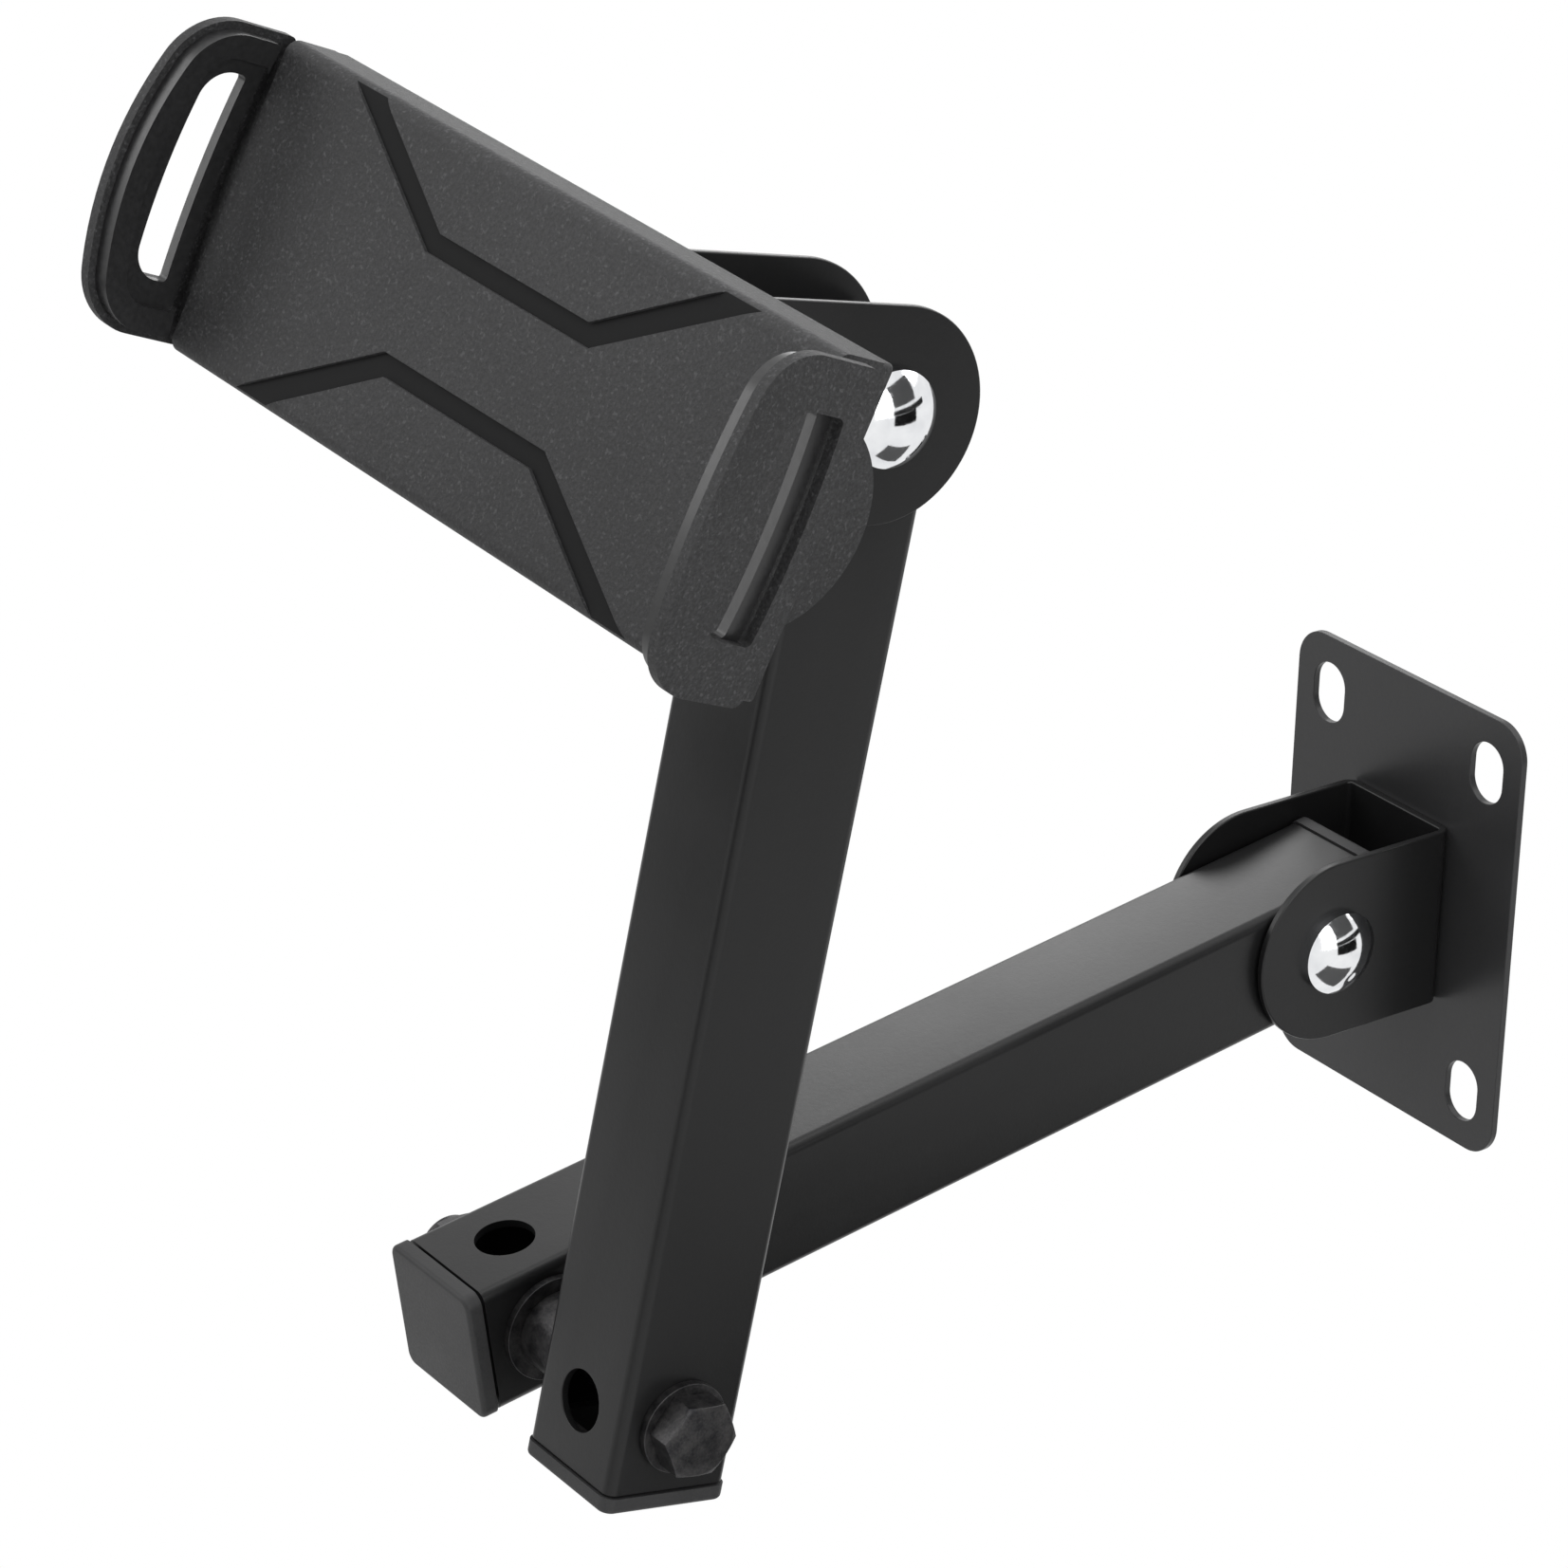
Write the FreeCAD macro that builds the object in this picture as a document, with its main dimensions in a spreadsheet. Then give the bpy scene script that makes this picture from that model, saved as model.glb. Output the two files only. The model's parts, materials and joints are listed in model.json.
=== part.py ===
import FreeCAD, Part
import math
import os
import re
import Sketcher
from FreeCAD import Placement, Rotation, Vector

doc = FreeCAD.newDocument("TabletWallMount")

# Driving sizes, in millimetres and degrees

SIZES = {
    # Wall plate and its four slotted holes
    "plate_width": 65, "plate_height": 92, "plate_sheet": 1.5, "plate_corner": 7,
    "slot_width": 9, "slot_length": 12.5, "slot_inset_across": 9.5, "slot_inset_up": 11.75,
    # Forks bent from sheet, and the nylon washers inside their ears
    "fork_sheet": 1.5, "wall_fork_reach": 27.9, "head_fork_reach": 30.7, "fork_rise": 0.6, "ear_half": 18.5,
    "bend_inner": 1, "friction_washer": 0.8,
    "friction_washer_half": 9,
    # Domed pivot pins
    "pin_shank": 8, "dome_half": 8.3, "dome_edge": 1.5, "dome_height": 3.2, "pin_play": 0.1,
    # Square tubes
    "tube_size": 25, "tube_wall": 1.5, "tube_corner": 2, "tube_inner_corner": 0.8, "hole_margin": 12.5,
    "head_margin": 8.8, "lower_pitch": 179.75, "upper_pitch": 180.7, "cross_hole": 11, "arm_gap": 15.2,
    # Pose of the arms and the head at rest
    "lower_droop": 8.5, "upper_lean": 11.8, "fork_tilt": 13, "holder_tilt": 23.6, "holder_yaw": 6.9,
    "holder_roll": -3.56,
    # Square end caps
    "cap_flange": 3, "cap_overhang": 0.4, "cap_plug": 6, "head_plug": 4, "cap_plug_wall": 1.8, "cap_play": 0.1,
    "cap_edge": 0.9, "head_flange": 2.4,
    "cap_neck_lower": 0.8, "cap_neck_upper": 0.3, "cap_neck_pivot": 0.3,
    # Elbow bolt, nut, washers and sleeve
    "bolt_shank": 8, "bolt_flats": 13, "bolt_head": 5.3, "bolt_end": 1.3, "hex_turn": 18.5, "hex_chamfer": 0.7,
    "nut_hex": 6.4, "nut_collar": 1.6, "nut_collar_half": 5.9, "washer_half": 8.4, "washer_sheet": 1.6,
    "inner_washer_half": 10, "inner_washer_sheet": 1.5, "sleeve_half": 7.5, "thread_play": 0.1,
    # Ball joint behind the holder
    "ball_half": 8, "ball_reach": 45, "ball_depth": 28.3, "neck_half": 3.3, "neck_end": 2, "collar_half": 7,
    "collar_height": 2, "stud_end": 5.2, "stud_nut": 4, "ball_play": 0.3, "pad_wall": 1.4, "pad_spread": 40,
    "ring_half": 17, "ring_lip_back": 4.6, "ring_lip_front": 3.1, "ring_gap": 1.3, "ring_chamfer": 1,
    "socket_half": 13, "socket_back": 3, "socket_front": 12.5,
    # Holder shells
    "holder_length": 137, "holder_width": 54.6, "holder_corner": 1, "cover_depth": 10, "cover_wall": 2,
    "cover_edge": 2.5, "flange_sheet": 2, "spine_half": 18, "spine_axis_depth": 5, "spine_wall": 2,
    "spine_end_wall": 3, "spine_inset": 2.5,
    # Grooves pressed into the front cover
    "groove_depth": 0.7, "groove_inner_rise": 8.5, "groove_inner_run": 20.5, "groove_outer_rise": 12.1,
    "groove_outer_run": 18.7, "groove_inner_inset": 16.8, "groove_outer_inset": 25,
    # Shell screws and their bosses
    "screw_inset": 10.5, "screw_edge": 6.3, "boss_half": 3, "screw_half": 1.25, "screw_head_half": 2.6,
    "screw_head": 1.6, "screw_reach": 6, "screw_play": 0.15,
    # Jaws
    "jaw_out": 7, "jaw_wall": 2, "jaw_bow": 2.2, "jaw_width": 54.2, "jaw_front": 20.3, "jaw_back": 4.3,
    "jaw_corner": 11, "jaw_arch": 80, "jaw_corner_back": 1.5, "finger_length": 36.2, "finger_shift": 0.85,
    "finger_height": 11.5, "finger_base": 0, "finger_corner": 5.2, "finger_arch": 300, "finger_corner_back": 1,
    "foot_top": 2.3, "foot_sheet": 2, "foot_half": 15.5, "floor_half": 23, "foot_entry": 18.5, "jaw_gap": 0.4,
    # Jaw linings with a raised ridge round the edge
    "pad_sheet": 1.9, "pad_inset": 1.4, "pad_base": 0.8, "pad_corner_back": 1, "pad_mouth": 3.7, "pad_seat": 0.05,
    "ridge_height": 1.1, "ridge_width": 4.2,
    # Slide inside the holder
    "rod_half": 1.5, "rod_play": 0.05, "rod_spread": 9, "rod_depth": 12.5, "rod_seat": 1.5,
    "crosshead_inset": 35.5, "crosshead_length": 6, "crosshead_half": 12.5, "crosshead_back": 14.7,
    "spring_half": 2.6, "spring_wire": 0.8,
}

sheet = doc.addObject("Spreadsheet::Sheet", "Sizes")
for row, (alias, value) in enumerate(SIZES.items(), 1):
    sheet.set("A%d" % row, alias)
    sheet.set("B%d" % row, str(value))
    sheet.setAlias("B%d" % row, alias)
doc.recompute()

# Lengths that follow from the driving sizes

DERIVED = {
    "ear_inner": "tube_size / 2 + friction_washer",
    "ear_outer": "ear_inner + fork_sheet",
    "slot_pitch_across": "plate_width - 2 * slot_inset_across",
    "slot_pitch_up": "plate_height - 2 * slot_inset_up",
    "wall_reach": "plate_sheet + wall_fork_reach",
    "arm_pitch": "tube_size + arm_gap",
    "dome_ball": "(dome_half ^ 2 + dome_height ^ 2) / (2 * dome_height)",
    "tube_bore": "tube_size - 2 * tube_wall",
    "bolt_top": "arm_pitch + tube_size / 2 + washer_sheet",
    "hex_corner": "bolt_flats / sqrt(3)",
    "nut_seat": "tube_size / 2 + washer_sheet",
    "bolt_length": "bolt_top + nut_seat + nut_hex + nut_collar + bolt_end",
    "sleeve_length": "arm_gap - 2 * inner_washer_sheet",
    "stud_seat": "ball_reach - head_fork_reach",
    "stud_bottom": "stud_seat + fork_sheet + stud_end",
    "ball_bore": "neck_half + thread_play / 2",
    "cup_half": "ball_half + ball_play",
    "pad_outer": "cup_half + pad_wall",
    "socket_cup": "pad_outer + ball_play",
    "ring_bore": "socket_half + ball_play",
    "ring_front": "ball_depth - spine_axis_depth - spine_half - ring_gap",
    "half_length": "holder_length / 2",
    "half_width": "holder_width / 2",
    "spine_end": "half_length - spine_inset",
    "screw_across": "half_length - screw_inset",
    "screw_up": "half_width - screw_edge",
    "groove_inner_end": "half_length - groove_inner_inset",
    "groove_outer_end": "half_length - groove_outer_inset",
    "jaw_reach": "half_length + jaw_out",
    "jaw_bow_ball": "((jaw_width / 2) ^ 2 + jaw_bow ^ 2) / (2 * jaw_bow)",
    "foot_inner": "half_length - foot_entry",
    "crosshead_inner": "half_length - crosshead_inset",
    "foot_bottom": "foot_top + foot_sheet",
    "spine_inner": "spine_half - spine_wall",
    "shell_back": "cover_depth + flange_sheet",
}
WORD = re.compile(r"[a-z]+(?:_[a-z]+)+")


def spell(text):
    """A formula in the short names above, written out with the sheet's cells."""
    def swap(match):
        name = match.group(0)
        if name in DERIVED:
            return "(" + spell(DERIVED[name]) + ")"
        return "Sizes." + name
    return WORD.sub(swap, text)


def value(text):
    """The number that a formula gives."""
    return float(sheet.evalExpression(spell(text)))


# Building steps that the pieces share

def frame_at(x, y, z, turn=Rotation()):
    return Placement(Vector(x, y, z), turn)


def new_body(node, frame):
    body = doc.addObject("PartDesign::Body", node)
    body.Label = node
    body.Placement = frame
    return body


def new_sketch(body, role, level="0"):
    """A sketch on one of the body's own planes, raised along its normal."""
    sketch = body.newObject("Sketcher::SketchObject", body.Name + "_sketch")
    plane = [item for item in body.Origin.OriginFeatures if item.Role == role][0]
    sketch.AttachmentSupport = [(plane, "")]
    sketch.MapMode = "FlatFace"
    sketch.setExpression("AttachmentOffset.Base.z", spell(level))
    return sketch


def bound(sketch, kind, refs, text):
    """One constraint of the sketch, tied to a formula."""
    index = sketch.addConstraint(Sketcher.Constraint(kind, *refs, value(text)))
    name = "size%d" % index
    sketch.renameConstraint(index, name)
    sketch.setExpression("Constraints." + name, spell(text))


def arc_between(start, end, radius):
    """Arc from start to end, shorter than a half turn; a negative radius bends it clockwise."""
    chord = end.sub(start)
    height = math.sqrt(max(radius ** 2 - (chord.Length / 2) ** 2, 0))
    side = Vector(-chord.y, chord.x, 0).normalize()
    centre = start.add(end).multiply(0.5).add(side.multiply(math.copysign(height, radius)))
    first, last = (start, end) if radius > 0 else (end, start)
    begin = math.atan2(first.y - centre.y, first.x - centre.x)
    finish = math.atan2(last.y - centre.y, last.x - centre.x)
    circle = Part.Circle(centre, Vector(0, 0, 1), abs(radius))
    return Part.ArcOfCircle(circle, begin, finish if finish > begin else finish + 2 * math.pi)


def outline(sketch, corners):
    """Closed outline. A corner is (x, y), or (x, y, radius) where an arc leads to the next corner."""
    spots = [Vector(value(c[0]), value(c[1]), 0) for c in corners]
    edges = []
    for i, corner in enumerate(corners):
        start, end = spots[i], spots[(i + 1) % len(spots)]
        if len(corner) == 2:
            edges.append((sketch.addGeometry(Part.LineSegment(start, end), False), 1, 2))
            continue
        radius = value(corner[2])
        edge = sketch.addGeometry(arc_between(start, end, radius), False)
        edges.append((edge, 1, 2) if radius > 0 else (edge, 2, 1))
    for i, corner in enumerate(corners):
        edge, first, last = edges[i]
        following = edges[(i + 1) % len(edges)]
        sketch.addConstraint(Sketcher.Constraint("Coincident", edge, last, following[0], following[1]))
        bound(sketch, "DistanceX", (-1, 1, edge, first), corner[0])
        bound(sketch, "DistanceY", (-1, 1, edge, first), corner[1])
        if len(corner) == 3:
            bound(sketch, "Radius", (edge,), "abs(%s)" % corner[2])


def rounded(sketch, width, height, corner, x="0", y="0"):
    """Rectangle about (x, y) with rounded corners."""
    left, right = "%s - (%s) / 2" % (x, width), "%s + (%s) / 2" % (x, width)
    low, high = "%s - (%s) / 2" % (y, height), "%s + (%s) / 2" % (y, height)
    outline(sketch, [
        (left + " + " + corner, low), (right + " - " + corner, low, corner),
        (right, low + " + " + corner), (right, high + " - " + corner, corner),
        (right + " - " + corner, high), (left + " + " + corner, high, corner),
        (left, high + " - " + corner), (left, low + " + " + corner, corner)])


def upright_slot(sketch, x, y, width, length):
    """Upright slot with round ends, each end drawn as two quarter arcs."""
    r = "(%s) / 2" % width
    flat = "((%s) - (%s)) / 2" % (length, width)
    outline(sketch, [
        ("%s - %s" % (x, r), "%s - %s" % (y, flat), r), (x, "%s - %s - %s" % (y, flat, r), r),
        ("%s + %s" % (x, r), "%s - %s" % (y, flat)),
        ("%s + %s" % (x, r), "%s + %s" % (y, flat), r), (x, "%s + %s + %s" % (y, flat, r), r),
        ("%s - %s" % (x, r), "%s + %s" % (y, flat))])


def circle(sketch, radius, x="0", y="0"):
    middle = Vector(value(x), value(y), 0)
    edge = sketch.addGeometry(Part.Circle(middle, Vector(0, 0, 1), value(radius)), False)
    bound(sketch, "Radius", (edge,), radius)
    bound(sketch, "DistanceX", (-1, 1, edge, 3), x)
    bound(sketch, "DistanceY", (-1, 1, edge, 3), y)


def hexagon(sketch, corner, turned="30"):
    """Hexagon whose first corner is turned by that many degrees from the sketch's x axis."""
    outline(sketch, [("%s * cos(%s + %d)" % (corner, turned, 60 * k), "%s * sin(%s + %d)" % (corner, turned, 60 * k))
                     for k in range(6)])


def extrude(body, kind, sketch, length=None, sides="One side", reverse=False):
    """Pad or Pocket of a sketch; a pocket without a length goes right through."""
    feature = body.newObject("PartDesign::" + kind, body.Name + "_" + kind.lower())
    feature.Profile = sketch
    feature.SideType = sides
    feature.Reversed = reverse
    if length is None:
        feature.Type = "ThroughAll"
    else:
        feature.setExpression("Length", spell(length))
    doc.recompute()
    return feature


def pad(body, sketch, length, **options):
    return extrude(body, "Pad", sketch, length, **options)


def pocket(body, sketch, length=None, **options):
    """Cut, checked to take something away."""
    before = body.Shape.Volume
    feature = extrude(body, "Pocket", sketch, length, **options)
    if body.Shape.Volume >= before:
        raise RuntimeError("the pocket in " + body.Label + " cuts nothing")
    return feature


def turn(body, kind, sketch):
    """Revolution or Groove about the sketch's upright axis."""
    feature = body.newObject("PartDesign::" + kind, body.Name + "_" + kind.lower())
    feature.Profile = sketch
    feature.ReferenceAxis = (sketch, ["V_Axis"])
    feature.Angle = 360
    doc.recompute()
    return feature


def soften(body, base, radius, wanted):
    """Fillet of the edges that the test picks."""
    edges = ["Edge%d" % (i + 1) for i, edge in enumerate(base.Shape.Edges) if wanted(edge)]
    feature = body.newObject("PartDesign::Fillet", body.Name + "_fillet")
    feature.Base = (base, edges)
    feature.setExpression("Radius", spell(radius))
    doc.recompute()
    return feature


def flat_at(level):
    """Test for an edge that lies in the plane z = level."""
    return lambda edge: abs(edge.BoundBox.ZMin - level) < 1e-4 and abs(edge.BoundBox.ZMax - level) < 1e-4


def solid(kind, name, at=("0", "0", "0"), rotation=Rotation(), **sizes):
    """Part primitive with its sizes and place tied to formulas."""
    item = doc.addObject("Part::" + kind, name)
    item.Placement = Placement(Vector(), rotation)
    for prop, text in sizes.items():
        item.setExpression(prop, spell(text))
    for axis, text in zip("xyz", at):
        item.setExpression("Placement.Base." + axis, spell(text))
    return item


def boolean(kind, name, base, tool):
    item = doc.addObject("Part::" + kind, name)
    item.Base = base
    item.Tool = tool
    return item


def joined(kind, name, items):
    item = doc.addObject("Part::" + kind, name)
    if kind == "Compound":
        item.Links = items
    else:
        item.Shapes = items
    return item


def finish(item, node, frame):
    item.Label = node
    item.Placement = frame
    return item


def washer(name, half, bore, thickness, level):
    """Flat ring about the z axis, from level upwards."""
    disc = solid("Cylinder", name + "_disc", ("0", "0", level), Radius=half, Height=thickness)
    hole = solid("Cylinder", name + "_hole", ("0", "0", level + " - 1"), Radius=bore,
                 Height=thickness + " + 2")
    return boolean("Cut", name, disc, hole)


# Places: the plate's back face is at Y = 0, and everything reaches out along -Y

SIDEWAYS = Rotation(Vector(0, 1, 0), 90)
droop = math.radians(value("lower_droop"))
lean = math.radians(value("upper_lean"))
tilt = math.radians(value("holder_tilt"))
yaw = math.radians(value("holder_yaw"))
roll = math.radians(value("holder_roll"))

wall_pivot = Vector(0, -value("wall_reach"), value("fork_rise"))
elbow = wall_pivot + Vector(0, -math.cos(droop), -math.sin(droop)) * value("lower_pitch")
upper_foot = elbow + Vector(value("arm_pitch"), 0, 0)
head_pivot = upper_foot + Vector(0, math.sin(lean), math.cos(lean)) * value("upper_pitch")

PLATE = frame_at(0, 0, 0, Rotation(Vector(1, 0, 0), 90))
WALL_FORK = Placement(wall_pivot, Rotation())
LOWER = Placement(wall_pivot, Rotation(Vector(1, 0, 0), 90 + value("lower_droop")))
UPPER = Placement(upper_foot, Rotation(Vector(1, 0, 0), -value("upper_lean")))
HEAD = Placement(head_pivot, Rotation(Vector(1, 0, 0), 180 - value("fork_tilt")))
ELBOW = Placement(elbow, SIDEWAYS)

# The ball lies straight out from the head fork; the holder faces along its own tilted normal

fork_normal = HEAD.Rotation.multVec(Vector(0, 1, 0))
ball_centre = head_pivot + fork_normal * value("ball_reach")
level_normal = Vector(0, -math.cos(tilt), math.sin(tilt))
level_up = Vector(0, math.sin(tilt), math.cos(tilt))
normal = level_normal * math.cos(yaw) + Vector(1, 0, 0) * math.sin(yaw)
level_side = Vector(1, 0, 0) * math.cos(yaw) - level_normal * math.sin(yaw)
side_axis = level_side * math.cos(roll) + level_up * math.sin(roll)
up_axis = level_up * math.cos(roll) - level_side * math.sin(roll)
facing = Rotation(side_axis, up_axis, normal, "ZXY")
BALL = Placement(ball_centre, facing)
STUD = Placement(ball_centre, HEAD.Rotation.multiply(Rotation(Vector(1, 0, 0), -90)))
holder_centre = ball_centre + normal * value("ball_depth")
HOLDER = Placement(holder_centre, facing)


# Wall plate: flat sheet with four upright slots

wall_plate = new_body("wall_plate", PLATE)
plate_sketch = new_sketch(wall_plate, "XY_Plane")
rounded(plate_sketch, "plate_width", "plate_height", "plate_corner")
for across in ("-slot_pitch_across / 2", "slot_pitch_across / 2"):
    for up in ("-slot_pitch_up / 2", "slot_pitch_up / 2"):
        upright_slot(plate_sketch, across, up, "slot_width", "slot_length")
pad(wall_plate, plate_sketch, "plate_sheet")


# Forks: one strip bent to a U, its two ears cut to a round end

def fork(node, frame, reach):
    """U-bent strip about the pivot, its base facing local +Y at the given reach."""
    body = new_body(node, frame)
    u_bend = new_sketch(body, "XY_Plane")
    bend_outer = "(bend_inner + fork_sheet)"
    bend = "%s - %s" % (reach, bend_outer)
    outline(u_bend, [
        ("ear_outer", "-ear_half"), ("ear_outer", bend, bend_outer), ("ear_outer - " + bend_outer, reach),
        ("-ear_outer + " + bend_outer, reach, bend_outer), ("-ear_outer", bend), ("-ear_outer", "-ear_half"),
        ("-ear_inner", "-ear_half"), ("-ear_inner", bend, "-bend_inner"),
        ("-ear_inner + bend_inner", reach + " - fork_sheet"),
        ("ear_inner - bend_inner", reach + " - fork_sheet", "-bend_inner"),
        ("ear_inner", bend), ("ear_inner", "-ear_half")])
    pad(body, u_bend, "2 * ear_half", sides="Symmetric")
    ear = new_sketch(body, "YZ_Plane")
    far, near = "2 * " + reach, "1.5 * " + reach
    outline(ear, [("-2 * ear_half", "-2 * ear_half"), (far, "-2 * ear_half"), (far, "2 * ear_half"),
                  ("-2 * ear_half", "2 * ear_half")])
    outline(ear, [("-ear_half", "0", "ear_half"), ("0", "-ear_half"), (near, "-ear_half"), (near, "ear_half"),
                  ("0", "ear_half", "ear_half")])
    pocket(body, ear, sides="Symmetric")
    hole = new_sketch(body, "YZ_Plane")
    circle(hole, "(pin_shank + pin_play) / 2")
    pocket(body, hole, sides="Symmetric")
    return body


fork("wall_fork", WALL_FORK, "wall_fork_reach")
head_fork = fork("head_fork", HEAD, "head_fork_reach")
stud_hole = new_sketch(head_fork, "XZ_Plane", "-head_fork_reach - 1")
circle(stud_hole, "(bolt_shank + thread_play) / 2")
pocket(head_fork, stud_hole, "fork_sheet + 2", reverse=True)


# Pivot pins: plain shank with a domed head outside each ear

def pivot_pin(node, frame):
    body = new_body(node, frame * Placement(Vector(), SIDEWAYS))
    section = new_sketch(body, "XZ_Plane")
    outline(section, [
        ("0", "-ear_outer - dome_edge - dome_height", "dome_ball"), ("dome_half", "-ear_outer - dome_edge"),
        ("dome_half", "-ear_outer"), ("pin_shank / 2", "-ear_outer"), ("pin_shank / 2", "ear_outer"),
        ("dome_half", "ear_outer"), ("dome_half", "ear_outer + dome_edge", "dome_ball"),
        ("0", "ear_outer + dome_edge + dome_height")])
    turn(body, "Revolution", section)


def friction_washers(node, frame):
    """Nylon washers that fill the space between a tube and its two ears."""
    pair = [washer(node + side, "friction_washer_half", "(pin_shank + pin_play) / 2", "friction_washer", level)
            for side, level in (("_left", "-ear_inner"), ("_right", "tube_size / 2"))]
    finish(joined("Compound", node, pair), node, frame * Placement(Vector(), SIDEWAYS))


for end, place in (("wall", WALL_FORK), ("head", HEAD)):
    pivot_pin(end + "_pivot_pin", place)
    friction_washers(end + "_friction_washers", place)


# Square tubes: drawn along local +Z from the hole at the origin

def square_tube(node, frame, pitch, cross_level, last_margin):
    body = new_body(node, frame)
    section = new_sketch(body, "XY_Plane", "-hole_margin")
    rounded(section, "tube_size", "tube_size", "tube_corner")
    rounded(section, "tube_bore", "tube_bore", "tube_inner_corner")
    pad(body, section, "%s + hole_margin + %s" % (pitch, last_margin))
    holes = new_sketch(body, "YZ_Plane")
    for level in ("0", pitch):
        circle(holes, "(bolt_shank + pin_play) / 2", "0", level)
    pocket(body, holes, sides="Symmetric")
    spare = new_sketch(body, "XZ_Plane")
    circle(spare, "cross_hole / 2", "0", cross_level)
    pocket(body, spare, sides="Symmetric")


square_tube("lower_tube", LOWER, "lower_pitch", "lower_pitch", "hole_margin")
square_tube("upper_tube", UPPER, "upper_pitch", "0", "head_margin")


# End caps: a flange just wider than the tube and a hollow plug inside it

def end_cap(node, frame, neck, flange_sheet, plug_length):
    """Cap with local +Z pointing out of the tube's end."""
    body = new_body(node, frame)
    plug_size = "(tube_bore - 2 * cap_play)"
    plug = new_sketch(body, "XY_Plane", "-" + plug_length)
    rounded(plug, plug_size, plug_size, "tube_inner_corner")
    pad(body, plug, "%s + %s" % (plug_length, neck))
    flange = new_sketch(body, "XY_Plane", neck)
    flange_size = "(tube_size + 2 * cap_overhang)"
    rounded(flange, flange_size, flange_size, "(tube_corner + cap_overhang)")
    pad(body, flange, flange_sheet)
    hollow = new_sketch(body, "XY_Plane", "-" + plug_length)
    rounded(hollow, plug_size + " - 2 * cap_plug_wall", plug_size + " - 2 * cap_plug_wall",
            "tube_inner_corner / 2")
    top = pocket(body, hollow, plug_length, reverse=True)
    soften(body, top, "cap_edge", flat_at(value("%s + %s" % (neck, flange_sheet))))


FLIP = Rotation(Vector(1, 0, 0), 180)
margin = value("hole_margin")
for node, arm, level, way, sizes in (
        ("lower_cap_wall", LOWER, -margin, FLIP, ("cap_neck_pivot", "cap_flange", "cap_plug")),
        ("lower_cap_elbow", LOWER, value("lower_pitch") + margin, Rotation(),
         ("cap_neck_lower", "cap_flange", "cap_plug")),
        ("upper_cap_elbow", UPPER, -margin, FLIP, ("cap_neck_upper", "cap_flange", "cap_plug")),
        ("upper_cap_head", UPPER, value("upper_pitch + head_margin"), Rotation(),
         ("cap_neck_pivot", "head_flange", "head_plug"))):
    end_cap(node, arm * frame_at(0, 0, level, way), *sizes)


# Elbow: bolt from the upper arm's side, sleeve between the arms, lock nut below

def hex_chamfer(body, top, sign):
    """Turned chamfer on the corners of a hexagon's free face."""
    section = new_sketch(body, "XZ_Plane")
    rim = "%s - hex_chamfer" % top if sign > 0 else "%s + hex_chamfer" % top
    corners = [("bolt_flats / 2 * 0.96", top), ("hex_corner + 1", rim + (" - 0.3" if sign > 0 else " + 0.3")),
               ("hex_corner + 1", top + (" + 1" if sign > 0 else " - 1")),
               ("bolt_flats / 2 * 0.96", top + (" + 1" if sign > 0 else " - 1"))]
    outline(section, corners if sign > 0 else corners[::-1])
    turn(body, "Groove", section)


elbow_bolt = new_body("elbow_bolt", ELBOW)
shank = new_sketch(elbow_bolt, "XY_Plane", "bolt_top - bolt_length")
circle(shank, "bolt_shank / 2")
pad(elbow_bolt, shank, "bolt_length")
head = new_sketch(elbow_bolt, "XY_Plane", "bolt_top")
hexagon(head, "hex_corner", "hex_turn")
pad(elbow_bolt, head, "bolt_head")
hex_chamfer(elbow_bolt, "bolt_top + bolt_head", 1)

elbow_nut = new_body("elbow_nut", ELBOW)
nut_hex = new_sketch(elbow_nut, "XY_Plane", "-nut_seat")
hexagon(nut_hex, "hex_corner")
circle(nut_hex, "(bolt_shank + thread_play) / 2")
pad(elbow_nut, nut_hex, "nut_hex", reverse=True)
hex_chamfer(elbow_nut, "-nut_seat - nut_hex", -1)
nut_collar = new_sketch(elbow_nut, "XY_Plane", "-nut_seat - nut_hex")
circle(nut_collar, "nut_collar_half")
circle(nut_collar, "(bolt_shank + thread_play) / 2")
pad(elbow_nut, nut_collar, "nut_collar", reverse=True)

BOLT_BORE = "(bolt_shank + pin_play) / 2"
finish(washer("head_washer", "washer_half", BOLT_BORE, "washer_sheet", "bolt_top - washer_sheet"),
       "elbow_head_washer", ELBOW)
finish(washer("nut_washer", "washer_half", BOLT_BORE, "washer_sheet", "-nut_seat"), "elbow_nut_washer", ELBOW)
finish(washer("sleeve", "sleeve_half", BOLT_BORE, "sleeve_length", "tube_size / 2 + inner_washer_sheet"),
       "elbow_spacer", ELBOW)
inner_washers = [
    washer("inner_washer_" + side, "inner_washer_half", BOLT_BORE, "inner_washer_sheet", level)
    for side, level in (("lower", "tube_size / 2"), ("upper", "arm_pitch - tube_size / 2 - inner_washer_sheet"))]
finish(joined("Compound", "inner_washers", inner_washers), "elbow_spacer_washers", ELBOW)


# Ball stud: neck, collar and a threaded end through the fork's base, with the ball screwed on the neck

ball_stud = new_body("ball_stud", STUD)
stud_section = new_sketch(ball_stud, "XZ_Plane")
outline(stud_section, [
    ("0", "-stud_bottom"), ("bolt_shank / 2", "-stud_bottom"), ("bolt_shank / 2", "-stud_seat"),
    ("collar_half", "-stud_seat"), ("collar_half", "-stud_seat + collar_height"),
    ("neck_half", "-stud_seat + collar_height"), ("neck_half", "-neck_end"), ("0", "-neck_end")])
turn(ball_stud, "Revolution", stud_section)

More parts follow.
